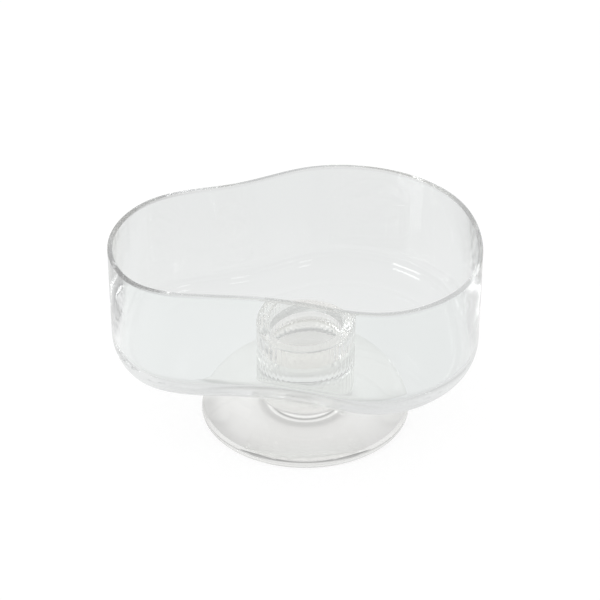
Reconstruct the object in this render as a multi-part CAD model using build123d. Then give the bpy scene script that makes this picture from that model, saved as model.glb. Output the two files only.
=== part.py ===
from build123d import *
import math
import os

# Footed glass bowl with a reeded candle cup in its middle.
# Millimetres, +Z up. The origin is the centre of the foot's underside, on the table.
# The cup's heavy solid base comes down through the bowl's floor and is the stem of the whole piece.

# Bowl: an open three-lobed pebble with upright walls and a big rounded bottom edge
bowl_length = 200.0
bowl_width = 153.0
bowl_depth = 72.0
bowl_wall = 2.8
bowl_floor = 5.0
bowl_bottom_radius = 18.0
bowl_inner_radius = 15.5
# Rim outline, anticlockwise from the right: shares of half the length and half the width,
# measured from the cup's axis
outline_shares = [
    (0.945, 0.005),
    (0.800, 0.635),
    (0.405, 0.990),
    (-0.030, 0.980),
    (-0.370, 0.770),
    (-0.800, 0.585),
    (-1.055, 0.005),
    (-0.860, -0.620),
    (-0.365, -0.750),
    (-0.030, -0.830),
    (0.395, -0.960),
    (0.820, -0.635),
]
# The fire-polished lip is fully round: each corner takes almost half of the glass
lip_round_share = 0.49
# Points along each plan and plans along each rounded edge
plan_steps = 24
arc_steps = 6

# Candle cup: a thick reeded tumbler with a solid base
cup_radius = 27.0
cup_height = 44.0
cup_bottom_radius = 6.0
cup_lip_radius = 1.6
candle_bore_radius = 20.5
candle_bore_depth = 16.5
candle_bore_corner = 2.5
reed_count = 52
reed_height = 0.25

# Foot: a round disc, gently domed, with a thin rounded edge
foot_radius = 58.0
foot_height = 10.0
foot_edge = 3.2
foot_seat_radius = 22.0
foot_dome_rise = 1.4
foot_edge_round_share = 0.49

# Clear bonds between the pieces of glass
bond_gap = 0.15
foot_bond_radius = 20.0
# Height of the bowl's underside above the table
bowl_lift = 39.0

# Length by which a cutting body runs past the glass it cuts
overrun = 5.0

# Places worked out from the sizes above
cup_bottom = foot_height + bond_gap
cup_top = cup_bottom + cup_height
candle_floor = cup_top - candle_bore_depth
hole_radius = cup_radius + bond_gap


def bowl_plan(inset, height):
    """Plan of the bowl at a height, drawn in by an inset square to the outside of the wall."""
    points = [
        (x_share * bowl_length / 2, y_share * bowl_width / 2)
        for x_share, y_share in outline_shares
    ]
    rim_line = Edge.make_spline([Vector(x, y) for x, y in points], periodic=True)
    drawn_in = []
    for n in range(plan_steps):
        tangent = rim_line.tangent_at(n / plan_steps)
        inward = Vector(-tangent.Y, tangent.X)
        drawn_in.append(rim_line.position_at(n / plan_steps) + inward * inset + Vector(0, 0, height))
    return make_face(Edge.make_spline(drawn_in, periodic=True))


def bowl_body(inset, bottom, corner, lip_reach):
    """Solid inside one skin of the bowl: a rounded bottom edge, the upright wall and the lip's curve."""
    quarter = [math.pi / 2 * n / arc_steps for n in range(arc_steps + 1)]
    lip = abs(lip_reach)
    rim = bowl_lift + bowl_depth
    edge_plans = [
        bowl_plan(inset + corner * (1 - math.sin(turn)), bottom + corner * (1 - math.cos(turn)))
        for turn in quarter
    ]
    wall_plans = [bowl_plan(inset, bottom + corner), bowl_plan(inset, rim - lip)]
    lip_plans = [
        bowl_plan(inset + lip_reach * (1 - math.cos(turn)), rim - lip + lip * math.sin(turn))
        for turn in quarter
    ]
    return loft(edge_plans) + loft(wall_plans) + loft(lip_plans)


def reeded_face():
    """Section across the cup: a ring of convex reeds that meet in sharp valleys."""
    valley_radius = cup_radius - reed_height
    step = 2 * math.pi / reed_count

    def at(radius, turns):
        return (radius * math.cos(turns * step), radius * math.sin(turns * step))

    reeds = [
        ThreePointArc(at(valley_radius, n), at(cup_radius, n + 0.5), at(valley_radius, n + 1))
        for n in range(reed_count)
    ]
    return make_face(reeds)


def make_bowl():
    """Thin-walled bowl, open at the top, with a ground hole where the cup passes through."""
    lip = bowl_wall * lip_round_share
    outside = bowl_body(0, bowl_lift, bowl_bottom_radius, lip)
    inside = bowl_body(bowl_wall, bowl_lift + bowl_floor, bowl_inner_radius, -lip)
    hole = Pos(0, 0, bowl_lift - overrun) * Cylinder(
        hole_radius, bowl_floor + 2 * overrun, align=(Align.CENTER, Align.CENTER, Align.MIN)
    )
    return outside - hole - inside


def make_cup():
    """Reeded tumbler: a turned envelope makes its reeds fade out at the lip and the rounded base."""
    envelope_radius = cup_radius + reed_height
    profile = make_face(
        Polyline(
            (0, cup_bottom),
            (envelope_radius, cup_bottom),
            (envelope_radius, cup_top),
            (0, cup_top),
            close=True,
        )
    )
    base_corner = profile.vertices().group_by(Axis.X)[-1].sort_by(Axis.Y)[0]
    profile = fillet(base_corner, cup_bottom_radius + reed_height)
    lip_corner = profile.vertices().group_by(Axis.Y)[-1].sort_by(Axis.X)[-1]
    profile = fillet(lip_corner, cup_lip_radius + reed_height)
    turned = revolve(Plane.XZ * profile, Axis.Z)
    reeds = extrude(Pos(0, 0, cup_bottom) * reeded_face(), amount=cup_height)
    body = turned & reeds
    bore = Pos(0, 0, candle_floor) * Cylinder(
        candle_bore_radius, candle_bore_depth + overrun, align=(Align.CENTER, Align.CENTER, Align.MIN)
    )
    bore = fillet(bore.edges().group_by(Axis.Z)[0], candle_bore_corner)
    body -= bore
    mouth = body.edges().filter_by(GeomType.CIRCLE).group_by(Axis.Z)[-1].sort_by(SortBy.RADIUS)[0]
    return fillet(mouth, cup_lip_radius)


def make_foot():
    """Turned disc: flat underneath, domed above, with a level seat for the stem."""
    crown = (
        (foot_seat_radius + foot_radius) / 2,
        (foot_height + foot_edge) / 2 + foot_dome_rise,
    )
    profile = make_face(
        [
            Line((0, 0), (foot_radius, 0)),
            Line((foot_radius, 0), (foot_radius, foot_edge)),
            ThreePointArc((foot_radius, foot_edge), crown, (foot_seat_radius, foot_height)),
            Line((foot_seat_radius, foot_height), (0, foot_height)),
            Line((0, foot_height), (0, 0)),
        ]
    )
    rim = profile.vertices().group_by(Axis.X)[-1]
    profile = fillet(rim, foot_edge * foot_edge_round_share)
    return revolve(Plane.XZ * profile, Axis.Z)


def make_bowl_bond():
    """Ring of clear adhesive that fills the valleys of the reeds inside the bowl's hole."""
    ring = extrude(Pos(0, 0, bowl_lift) * make_face(Circle(hole_radius).edges()), amount=bowl_floor)
    return ring - extrude(Pos(0, 0, bowl_lift) * reeded_face(), amount=bowl_floor)


def make_foot_bond():
    """Film of clear adhesive between the stem's base and the foot's seat."""
    return Pos(0, 0, foot_height) * Cylinder(
        foot_bond_radius, bond_gap, align=(Align.CENTER, Align.CENTER, Align.MIN)
    )


os.makedirs("parts", exist_ok=True)
nodes = {
    "bowl": make_bowl(),
    "candle_cup_stem": make_cup(),
    "foot": make_foot(),
    "bowl_bond_ring": make_bowl_bond(),
    "foot_bond_film": make_foot_bond(),
}
for name, solid in nodes.items():
    export_step(solid, f"parts/{name}.step")
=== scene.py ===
import math

import bpy
import numpy as np
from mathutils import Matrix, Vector


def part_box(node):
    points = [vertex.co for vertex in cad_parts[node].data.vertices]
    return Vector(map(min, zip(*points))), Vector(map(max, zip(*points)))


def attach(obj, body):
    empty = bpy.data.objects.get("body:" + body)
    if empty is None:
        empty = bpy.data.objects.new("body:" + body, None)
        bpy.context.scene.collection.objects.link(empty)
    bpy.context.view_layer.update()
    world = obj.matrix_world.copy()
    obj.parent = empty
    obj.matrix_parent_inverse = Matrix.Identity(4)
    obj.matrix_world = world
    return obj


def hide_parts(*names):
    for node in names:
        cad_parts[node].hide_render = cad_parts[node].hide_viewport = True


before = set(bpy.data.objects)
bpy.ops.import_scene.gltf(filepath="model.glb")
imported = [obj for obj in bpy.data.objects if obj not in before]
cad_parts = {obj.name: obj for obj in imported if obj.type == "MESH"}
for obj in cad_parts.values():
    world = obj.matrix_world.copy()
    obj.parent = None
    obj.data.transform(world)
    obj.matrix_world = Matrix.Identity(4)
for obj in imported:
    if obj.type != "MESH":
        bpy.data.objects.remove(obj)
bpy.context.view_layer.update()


# The bowl is clear glass about 3 mm thick, blown into a three-lobed mould, with a big rounded bottom edge.
# Its lip is cut level and fire-polished round. The hole in its floor is ground to take the cup's reeds, and
# clear adhesive fills what is left between them, so the bowl's glass is drawn here right up to the cup.
bowl_low, bowl_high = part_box("bowl")
under, rim = bowl_low.z, bowl_high.z
half_length = 0.100
half_width = 0.0765
outline_shares = [
    (0.945, 0.005),
    (0.800, 0.635),
    (0.405, 0.990),
    (-0.030, 0.980),
    (-0.370, 0.770),
    (-0.800, 0.585),
    (-1.055, 0.005),
    (-0.860, -0.620),
    (-0.365, -0.750),
    (-0.030, -0.830),
    (0.395, -0.960),
    (0.820, -0.635),
]
# The plan is drawn anew through this many points of that curve, as the bowl's skins are
plan_steps = 24
glass_wall = 0.0028
glass_floor = 0.005
floor_top = under + glass_floor
lip_radius = glass_wall / 2
outer_corner_radius = 0.018
inner_corner_radius = 0.0155
lip_steps = 8
corner_steps = 24
cup_radius = 0.027
reed_count = 52
reed_height = 0.00025
points_per_reed = 12
around = reed_count * points_per_reed
crease_angle = math.radians(38)
# Neighbouring pieces of glass run this far into each other, so that light crosses the bond unbent
bond_overlap = 0.00002


def rim_curve(points, count):
    """A closed smooth curve through the points, as evenly spaced plan points and their outward normals."""
    points = np.array(points)
    chords = np.linalg.norm(np.roll(points, -1, 0) - points, axis=1)
    before = np.roll(chords, 1)
    size = len(points)
    bends = np.zeros((size, size))
    for n in range(size):
        bends[n, n - 1] = chords[n]
        bends[n, n] = 2 * (chords[n] + before[n])
        bends[n, (n + 1) % size] = before[n]
    slopes = (np.roll(points, -1, 0) - points) / chords[:, None]
    pull = 3 * (chords[:, None] * np.roll(slopes, 1, 0) + before[:, None] * slopes)
    tangents = np.linalg.solve(bends, pull)
    starts = np.concatenate([[0], np.cumsum(chords)])
    places, normals = [], []
    for travel in np.arange(count) / count * starts[-1]:
        n = min(int(np.searchsorted(starts, travel, "right")) - 1, size - 1)
        u, step = (travel - starts[n]) / chords[n], chords[n]
        ends = (points[n], points[(n + 1) % size], tangents[n] * step, tangents[(n + 1) % size] * step)
        weights = (2 * u**3 - 3 * u**2 + 1, 3 * u**2 - 2 * u**3, u**3 - 2 * u**2 + u, u**3 - u**2)
        turns = (6 * u**2 - 6 * u, 6 * u - 6 * u**2, 3 * u**2 - 4 * u + 1, 3 * u**2 - 2 * u)
        places.append(sum(w * e for w, e in zip(weights, ends)))
        along = sum(w * e for w, e in zip(turns, ends))
        normals.append((along[1], -along[0]) / np.linalg.norm(along))
    return np.array(places), np.array(normals)


def rounding(radius, steps):
    """How far a rounded corner stands in from the side and off the end, from the end round to the side."""
    turns = [math.pi / 2 * n / steps for n in range(steps + 1)]
    return [(radius * (1 - math.sin(turn)), radius * (1 - math.cos(turn))) for turn in turns]


def reed_ring(radius, height, strength=1.0):
    """A ring round the cup's axis, scalloped into convex reeds that meet in sharp valleys."""
    share = np.arange(around) % points_per_reed / points_per_reed
    reach = radius - reed_height * strength * (2 * share - 1) ** 2
    angle = np.arange(around) * 2 * math.pi / around
    return np.stack([reach * np.cos(angle), reach * np.sin(angle), np.full(around, height)], 1)


def glass_skin(name, rings, hollow=False):
    """A piece of glass from rings of equal count, capped at both ends, or joined end to end if it is hollow."""
    count = len(rings[0])
    rows = list(zip(range(len(rings) - 1), range(1, len(rings))))
    if hollow:
        rows.append((len(rings) - 1, 0))
    faces = [
        (low * count + n, low * count + (n + 1) % count, high * count + (n + 1) % count, high * count + n)
        for low, high in rows
        for n in range(count)
    ]
    if not hollow:
        faces.append(tuple(reversed(range(count))))
        faces.append(tuple(range((len(rings) - 1) * count, len(rings) * count)))
    mesh = bpy.data.meshes.new(name)
    mesh.from_pydata(np.concatenate(rings).tolist(), [], faces)
    mesh.polygons.foreach_set("use_smooth", [True] * len(mesh.polygons))
    mesh.set_sharp_from_angle(angle=crease_angle)
    piece = bpy.data.objects.new(name, mesh)
    bpy.context.scene.collection.objects.link(piece)
    return piece


plan_points, _ = rim_curve([(x * half_length, y * half_width) for x, y in outline_shares], plan_steps)
outline, outward = rim_curve(plan_points, around)
# The outline starts where the reeds do, so that the floor's quads run straight out from the hole
outline_turn = int(np.argmin(np.abs(np.arctan2(outline[:, 1], outline[:, 0]))))
outline, outward = np.roll(outline, -outline_turn, 0), np.roll(outward, -outline_turn, 0)


def bowl_ring(inset, height):
    """The bowl's plan drawn in by an inset, at a height."""
    plan = outline - outward * inset
    return np.column_stack([plan, np.full(around, height)])


hole_radius = cup_radius - bond_overlap
bowl_rings = [reed_ring(hole_radius, under)]
for inset, rise in rounding(outer_corner_radius, corner_steps):
    bowl_rings.append(bowl_ring(inset, under + rise))
for inset, drop in reversed(rounding(lip_radius, lip_steps)):
    bowl_rings.append(bowl_ring(inset, rim - drop))
for inset, drop in rounding(lip_radius, lip_steps)[1:]:
    bowl_rings.append(bowl_ring(glass_wall - inset, rim - drop))
for inset, rise in reversed(rounding(inner_corner_radius, corner_steps)):
    bowl_rings.append(bowl_ring(glass_wall + inset, floor_top + rise))
bowl_rings.append(reed_ring(hole_radius, floor_top))
bowl = glass_skin("bowl_glass", bowl_rings, hollow=True)


class Wire:
    """A node's output. Arithmetic on it adds Math nodes to its tree, and node() adds any other node."""

    def __init__(self, tree, socket=None):
        self.tree = tree
        self.socket = socket

    def node(self, kind, settings, sockets, output=0):
        made = self.tree.nodes.new(kind)
        for name, value in settings.items():
            setattr(made, name, value)
        for name, value in sockets.items():
            if isinstance(value, Wire):
                self.tree.links.new(value.socket, made.inputs[name])
            else:
                made.inputs[name].default_value = value
        return Wire(self.tree, made.outputs[output] if made.outputs else None)

    def maths(self, operation, first, second):
        return self.node("ShaderNodeMath", {"operation": operation}, {0: first, 1: second})

    def vector_maths(self, operation, sockets, output=0):
        return self.node("ShaderNodeVectorMath", {"operation": operation}, sockets, output)

    def fade(self, start, end, before=0.0, after=1.0):
        """A smooth change from one value to another as this one runs from its start to its end."""
        return self.node(
            "ShaderNodeMapRange",
            {"interpolation_type": "SMOOTHSTEP"},
            {"Value": self, "From Min": start, "From Max": end, "To Min": before, "To Max": after},
        )

    def blend(self, first, second):
        """One colour where this mask is 0 and another where it is 1."""
        colours = {"Factor": self, "A": first, "B": second}
        return self.node("ShaderNodeMix", {"data_type": "RGBA"}, colours, "Result")

    def part(self, axis):
        """One coordinate of this place or direction."""
        return self.node("ShaderNodeSeparateXYZ", {}, {"Vector": self}, axis)

    def from_axis(self):
        """How far this place lies from the upright axis through the origin."""
        level = self.vector_maths("MULTIPLY", {0: self, 1: (1.0, 1.0, 0.0)})
        return self.vector_maths("LENGTH", {0: level}, "Value")

    def __add__(self, other):
        return self.maths("ADD", self, other)

    def __radd__(self, other):
        return self.maths("ADD", other, self)

    def __sub__(self, other):
        return self.maths("SUBTRACT", self, other)

    def __rsub__(self, other):
        return self.maths("SUBTRACT", other, self)

    def __mul__(self, other):
        return self.maths("MULTIPLY", self, other)

    def __rmul__(self, other):
        return self.maths("MULTIPLY", other, self)


def new_tree(holder):
    """An emptied node tree of a material or world, as a wire to build on."""
    holder.use_nodes = True
    holder.node_tree.nodes.clear()
    return Wire(holder.node_tree)


glass_index = 1.5
paler_share = 0.75
wave_detail = 1.0
film_scale = 60.0
film_detail = 4.0
film_start = 0.55
film_full = 0.75


def clear_glass(name, tint, wave_scale, wave_height, smudge, painted_shade_where=None, painted_shade_tint=None):
    """Clear glass with faint waves, uneven tint and a trace of handling film, with a painted shade of deeper
    tint in one place.
    """
    material = bpy.data.materials.new(name)
    tree = new_tree(material)
    place = tree.node("ShaderNodeTexCoord", {}, {}, "Object")
    waves = tree.node("ShaderNodeTexNoise", {}, {"Vector": place, "Scale": wave_scale, "Detail": wave_detail})
    film = tree.node("ShaderNodeTexNoise", {}, {"Vector": place, "Scale": film_scale, "Detail": film_detail})
    film_patches = tree.node(
        "ShaderNodeMapRange",
        {},
        {"Value": film, "From Min": film_start, "From Max": film_full, "To Max": smudge},
    )
    pale = tuple(tint) + (1.0,)
    paler = tuple(1 - (1 - channel) * paler_share for channel in tint) + (1.0,)
    colour = waves.blend(pale, paler)
    # Painted shade: where the mask says, the colour turns to a deeper tint that stands in for shade
    if painted_shade_where:
        colour = painted_shade_where(place).blend(colour, tuple(painted_shade_tint) + (1.0,))
    relief = tree.node("ShaderNodeBump", {}, {"Height": waves, "Strength": 1.0, "Distance": wave_height})
    glass = tree.node(
        "ShaderNodeBsdfPrincipled",
        {},
        {
            "Base Color": colour,
            "Roughness": film_patches,
            "IOR": glass_index,
            "Transmission Weight": 1.0,
            "Normal": relief,
        },
    )
    tree.node("ShaderNodeOutputMaterial", {}, {"Surface": glass})
    return material


# The lip's painted shade starts this far under the rim, and is full this far under it
lip_shade_start = 0.0022
lip_shade_full = 0.0012


def lip_painted_shade(place):
    """The lip, which shows its glass on edge. Its painted shade, a deeper tint that stands in for the dark the
    lip shows, is strongest at the small lobe's end.
    """
    small_lobe = place.part("X").fade(start=-0.095, end=-0.05, before=1.0, after=0.23)
    big_lobes = place.part("X").fade(start=0.05, end=0.095, before=0.0, after=0.33)
    up_to_rim = place.part("Z").fade(rim - lip_shade_start, rim - lip_shade_full)
    return up_to_rim * (small_lobe + big_lobes)


blown_glass = clear_glass(
    "blown_clear_glass",
    tint=(0.970, 0.986, 0.982),
    wave_scale=45.0,
    wave_height=0.00004,
    smudge=0.02,
    # The lip gets a painted shade of mid grey, strongest at the small lobe's end
    painted_shade_where=lip_painted_shade,
    painted_shade_tint=(0.50, 0.50, 0.50),
)
bowl.data.materials.append(blown_glass)
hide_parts("bowl", "bowl_bond_ring")
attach(bowl, "root")


# The candle cup is a thick tumbler of pressed clear glass with 52 convex reeds. It is pushed down through the
# bowl's floor, and its solid base is the stem. The reeds fade out at its fire-polished lip and rounded base.
cup_low, cup_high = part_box("candle_cup_stem")
cup_base, cup_top = cup_low.z, cup_high.z
base_corner_radius = 0.006
cup_lip_radius = 0.0016
candle_bore_radius = 0.0205
candle_bore_depth = 0.0165
candle_floor = cup_top - candle_bore_depth
bore_corner_radius = 0.0025
base_steps = 16
cup_lip_steps = 10
bore_corner_steps = 8
# The bore's painted shade ends between these depths in the glass, and starts between these heights in the bore
bore_shade_depths = (0.0002, 0.0006)
bore_shade_heights = (0.001, 0.003)
bore_shade_full_height = 0.004


def cup_ring(envelope_inset, height):
    """The reeded outline, no further out than a turned envelope that stands off it by the reeds' height."""
    ring = reed_ring(cup_radius, height)
    reach = np.hypot(ring[:, 0], ring[:, 1])
    held = np.minimum(reach, cup_radius + reed_height - envelope_inset)
    ring[:, :2] *= (held / reach)[:, None]
    return ring


def round_ring(radius, height):
    """A plain circle round the axis, with as many points as the cup's rings."""
    return reed_ring(radius, height, 0)


cup_rings = []
for inset, rise in rounding(base_corner_radius + reed_height, base_steps):
    cup_rings.append(cup_ring(inset, cup_base + rise))
for inset, drop in reversed(rounding(cup_lip_radius + reed_height, cup_lip_steps)):
    cup_rings.append(cup_ring(inset, cup_top - drop))
for outset, drop in rounding(cup_lip_radius, cup_lip_steps):
    cup_rings.append(round_ring(candle_bore_radius + outset, cup_top - drop))
for inset, rise in reversed(rounding(bore_corner_radius, bore_corner_steps)):
    cup_rings.append(round_ring(candle_bore_radius - inset, candle_floor + rise))
cup = glass_skin("candle_cup_glass", cup_rings)


def bore_painted_shade(place):
    """The bore's wall. Its painted shade, a deeper tint that stands in for the shade the reeded wall shows, is
    strongest at its foot and stays clear of its floor.
    """
    shallow, deep = (candle_bore_radius + depth for depth in bore_shade_depths)
    low, high = (candle_floor + height for height in bore_shade_heights)
    near_bore = place.from_axis().fade(shallow, deep, before=1.0, after=0.0)
    above_floor = place.part("Z").fade(low, high)
    up_the_wall = place.part("Z").fade(
        candle_floor + bore_shade_full_height, cup_top, before=1.0, after=0.45
    )
    return near_bore * above_floor * up_the_wall


pressed_glass = clear_glass(
    "pressed_clear_glass",
    tint=(0.99, 0.985, 0.975),
    wave_scale=70.0,
    wave_height=0.00002,
    smudge=0.01,
    # The bore's wall gets a painted shade of deeper tint
    painted_shade_where=bore_painted_shade,
    painted_shade_tint=(0.88, 0.87, 0.86),
)
cup.data.materials.append(pressed_glass)
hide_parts("candle_cup_stem")
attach(cup, "root")


# The foot is a disc of clear glass, flat underneath and gently domed above, ground level where the stem
# stands on it. Its thin edge is fire-polished round.
foot_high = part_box("foot")[1]
foot_radius = foot_high.x
seat_height = foot_high.z
foot_edge = 0.0032
foot_edge_round = foot_edge / 2
foot_seat_radius = 0.022
foot_dome_rise = 0.0014
edge_steps = 8
dome_steps = 40


def dome_profile(steps):
    """Points of the arc over the foot, from its edge in to its seat."""
    edge = np.array([foot_radius, foot_edge])
    seat = np.array([foot_seat_radius, seat_height])
    chord = seat - edge
    half_chord = np.linalg.norm(chord) / 2
    middle = (edge + seat) / 2
    across = np.array([chord[1], -chord[0]]) / (2 * half_chord)
    crown = middle + (0, foot_dome_rise)
    rise = abs(float(np.dot(crown - middle, across)))
    arc_radius = (half_chord**2 + rise**2) / (2 * rise)
    centre = middle - across * math.copysign(arc_radius - rise, float(np.dot(crown - middle, across)))
    start, end = edge - centre, seat - centre
    first = math.atan2(start[1], start[0])
    last = math.atan2(end[1], end[0])
    return [
        centre + arc_radius * np.array([math.cos(a), math.sin(a)])
        for a in (first + (last - first) * n / steps for n in range(steps + 1))
    ]


foot_rings = [round_ring(foot_radius - inset, rise) for inset, rise in rounding(foot_edge_round, edge_steps)]
dome = dome_profile(dome_steps)
edge_lean = math.atan2(dome[1][1] - dome[0][1], dome[0][0] - dome[1][0])
for n in range(1, edge_steps + 1):
    turn = (math.pi / 2 - edge_lean) * n / edge_steps
    foot_rings.append(
        round_ring(foot_radius - foot_edge_round * (1 - math.cos(turn)), foot_edge_round * (1 + math.sin(turn)))
    )
for radius, height in dome:
    if radius < foot_radius - foot_edge_round:
        foot_rings.append(round_ring(radius, height))
foot = glass_skin("foot_glass", foot_rings)
foot_glass = clear_glass(
    "spun_clear_glass", tint=(0.950, 0.948, 0.932), wave_scale=40.0, wave_height=0.00003, smudge=0.015
)
foot.data.materials.append(foot_glass)
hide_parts("foot")
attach(foot, "root")


# The stem is held to the foot by a film of clear adhesive, cured under light. It is drawn a hair thicker
# than it is, into both pieces of glass.
film_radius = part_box("foot_bond_film")[1].x
film_rings = [
    round_ring(film_radius, seat_height - bond_overlap),
    round_ring(film_radius, cup_base + bond_overlap),
]
film = glass_skin("foot_bond", film_rings)
adhesive = clear_glass(
    "clear_adhesive", tint=(0.99, 0.99, 0.985), wave_scale=90.0, wave_height=0.000005, smudge=0.0
)
film.data.materials.append(adhesive)
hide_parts("foot_bond_film")
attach(film, "root")


# The studio's table is pale. The camera sees it white, with the bowl's shadow. The glass shows it with
# painted light and shade, which stand in for the light that real glass throws: soft rings round the stem,
# a shade under the foot's edge and behind the stem, and a glow at the left.
table_size = 8.0
table_drop = 0.0002
table_grey = (0.2, 0.2, 0.2, 1.0)
bare_table_light = 0.88
white = (1.0, 1.0, 1.0, 1.0)
mesh = bpy.data.meshes.new("studio_table")
half = table_size / 2
mesh.from_pydata([(-half, -half, 0), (half, -half, 0), (half, half, 0), (-half, half, 0)], [], [(0, 1, 2, 3)])
table = bpy.data.objects.new("studio_table", mesh)
bpy.context.scene.collection.objects.link(table)
table.location.z = -table_drop
table_paint = bpy.data.materials.new("studio_table_paint")
tree = new_tree(table_paint)
to_camera = tree.node("ShaderNodeLightPath", {}, {}, "Is Camera Ray")
through = tree.node("ShaderNodeLightPath", {}, {}, "Is Transmission Ray")
mirrored = tree.node("ShaderNodeLightPath", {}, {}, "Is Glossy Ray")
seen_in_glass = tree.maths("MAXIMUM", through, mirrored)
place = tree.node("ShaderNodeTexCoord", {}, {}, "Object")
sideways, depth = place.part("X"), place.part("Y")
radius = place.from_axis()
near_shade = depth.fade(start=-0.05, end=0.015, before=0.76, after=0.885)
beyond_foot = depth.fade(start=0.06, end=0.12, before=1.0, after=0.962)
far_shade = beyond_foot * depth.fade(start=0.14, end=0.20, before=1.0, after=0.977)
on_right = sideways.fade(start=0.0, end=0.05, before=0.0, after=0.035)
right_shade = 1 - on_right * depth.fade(start=0.05, end=0.12, before=1.0, after=0.0)
left_glow = 1 + sideways.fade(start=-0.18, end=-0.12, before=0.15, after=0.0)


def light_ring(middle, spread, strength):
    """A soft ring of light or shade on the table, round the stem."""
    swell = radius.fade(middle - spread, middle, 0.0, 1.0)
    return swell * radius.fade(middle, middle + spread, strength, 0.0)


stem_rings = (
    light_ring(middle=0.0153, spread=0.0012, strength=-0.40)
    + light_ring(middle=0.0172, spread=0.0010, strength=0.28)
    + light_ring(middle=0.0191, spread=0.0010, strength=-0.50)
    + light_ring(middle=0.0210, spread=0.0010, strength=0.24)
    + light_ring(middle=0.0235, spread=0.0040, strength=-0.22)
)
glow_swell = radius.fade(start=0.026, end=0.032, before=0.0, after=0.06)
inner_glow = glow_swell * radius.fade(start=0.034, end=0.046, before=1.0, after=0.0)
edge_side = (sideways - depth * 0.5).fade(start=-0.01, end=0.06, before=1.0, after=0.35)
edge_swell = radius.fade(start=0.044, end=0.054, before=0.0, after=0.22)
edge_shade = edge_swell * radius.fade(start=0.058, end=0.064, before=1.0, after=0.0) * edge_side
foot_front = depth.fade(start=0.0, end=0.012, before=1.0, after=0.0)
foot_back = radius.fade(start=0.055, end=0.058, before=0.055, after=0.0)
behind_stem = place.vector_maths("SUBTRACT", {0: place, 1: (0.0, 0.036, 0.0)})
stem_shade = behind_stem.from_axis().fade(start=0.012, end=0.022, before=0.17, after=0.0)
foot_rear = (1 - foot_front) * (foot_back - stem_shade)
foot_light = 1 + foot_front * (stem_rings + inner_glow - edge_shade) + foot_rear
table_light = near_shade * far_shade * right_shade * left_glow * foot_light
paint = tree.node("ShaderNodeBsdfDiffuse", {}, {"Color": table_grey})
lit = tree.node("ShaderNodeEmission", {}, {"Color": white, "Strength": to_camera * bare_table_light})
bare = tree.node("ShaderNodeAddShader", {}, {0: paint, 1: lit})
shown = tree.node("ShaderNodeEmission", {}, {"Color": white, "Strength": table_light})
both = tree.node("ShaderNodeMixShader", {}, {0: seen_in_glass, 1: bare, 2: shown})
tree.node("ShaderNodeOutputMaterial", {}, {"Surface": both})
table.data.materials.append(table_paint)


# The studio's walls show white to the camera. In the glass they are pale, and darken behind the camera,
# low down and overhead, so that the edges of the glass have something to show.
world = bpy.data.worlds.new("studio_walls")
bpy.context.scene.world = world
tree = new_tree(world)
direction = tree.node("ShaderNodeTexCoord", {}, {}, "Generated")
wall_light = direction.part("Y").fade(start=-0.8, end=-0.1, before=0.55, after=0.85)
low_gloom = direction.part("Z").fade(start=0.05, end=0.30, before=0.42, after=1.0)
zenith_gloom = direction.part("Z").fade(start=0.72, end=0.85, before=1.0, after=0.85)
walls = wall_light * low_gloom * zenith_gloom
to_camera = tree.node("ShaderNodeLightPath", {}, {}, "Is Camera Ray")
background = tree.node(
    "ShaderNodeBackground", {}, {"Color": white, "Strength": to_camera + (1 - to_camera) * walls}
)
tree.node("ShaderNodeOutputWorld", {}, {"Surface": background})


# Two softboxes stand at the sides, the main one at the left and a weak one at the right. They leave the small
# highlights on the glass.
bowl_middle = (0, 0, 0.07)


def softbox(name, place, aim, width, height, watts):
    """A rectangular studio light at a place, facing a point."""
    light = bpy.data.lights.new(name, "AREA")
    light.energy = watts
    light.shape = "RECTANGLE"
    light.size = width
    light.size_y = height
    lamp = bpy.data.objects.new(name, light)
    bpy.context.scene.collection.objects.link(lamp)
    lamp.location = place
    lamp.rotation_euler = (Vector(aim) - lamp.location).to_track_quat("-Z", "Y").to_euler()


softbox("left_softbox", place=(-1.030, -0.571, 0.619), aim=bowl_middle, width=0.60, height=0.16, watts=1.5)
softbox("right_softbox", place=(0.752, -0.963, 0.776), aim=bowl_middle, width=0.30, height=0.12, watts=0.25)


# The camera looks down on the bowl at 33.7 degrees through a long lens, as in the photograph. Light may cross
# the glass many times, because thick edges turn black where it is cut short.
camera_tilt = math.radians(33.664)
camera_distance = 1.20
camera_target = Vector((-0.00295, 0, 0.07115))
focal_length = 132.26
sensor_width = 36
glass_bounces = 256
camera_data = bpy.data.cameras.new("studio_camera")
camera_data.sensor_width = sensor_width
camera_data.lens = focal_length
camera = bpy.data.objects.new("studio_camera", camera_data)
bpy.context.scene.collection.objects.link(camera)
sight = Vector((0, math.cos(camera_tilt), -math.sin(camera_tilt)))
camera.location = camera_target - sight * camera_distance
camera.rotation_mode = "QUATERNION"
camera.rotation_quaternion = sight.to_track_quat("-Z", "Y")
scene = bpy.context.scene
scene.camera = camera
scene.view_settings.view_transform = "Standard"
scene.cycles.max_bounces = glass_bounces
scene.cycles.transmission_bounces = glass_bounces
scene.cycles.glossy_bounces = glass_bounces
